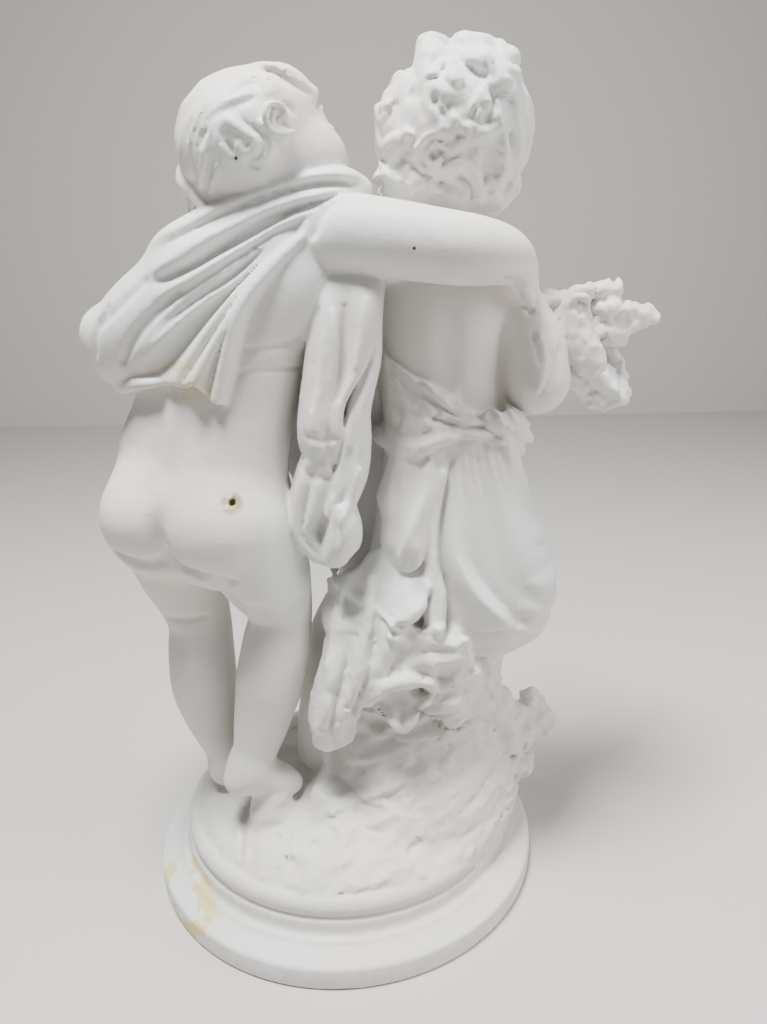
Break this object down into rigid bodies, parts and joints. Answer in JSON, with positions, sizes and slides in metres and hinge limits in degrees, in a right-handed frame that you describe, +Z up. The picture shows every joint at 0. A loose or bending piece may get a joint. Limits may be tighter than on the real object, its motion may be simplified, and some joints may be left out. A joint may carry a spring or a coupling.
{
  "type": "figure group statuette",
  "caption": "White bisque statuette of embracing children seen from behind, one draped and one in a skirt, on a rocky mound over a round moulded plinth.",
  "frame": {"origin": "centre of the round plinth's underside, on the surface it stands on", "axes": "+Z up; the figures' backs face -Y and their fronts +Y; +X runs from the boy to the girl"},
  "size_m": [0.2653, 0.2, 0.3943],
  "materials": {
    "bisque": "unglazed matte, cool white"
  },
  "bodies": {
    "root": {"statuette": "bisque"}
  },
  "joints": []
}
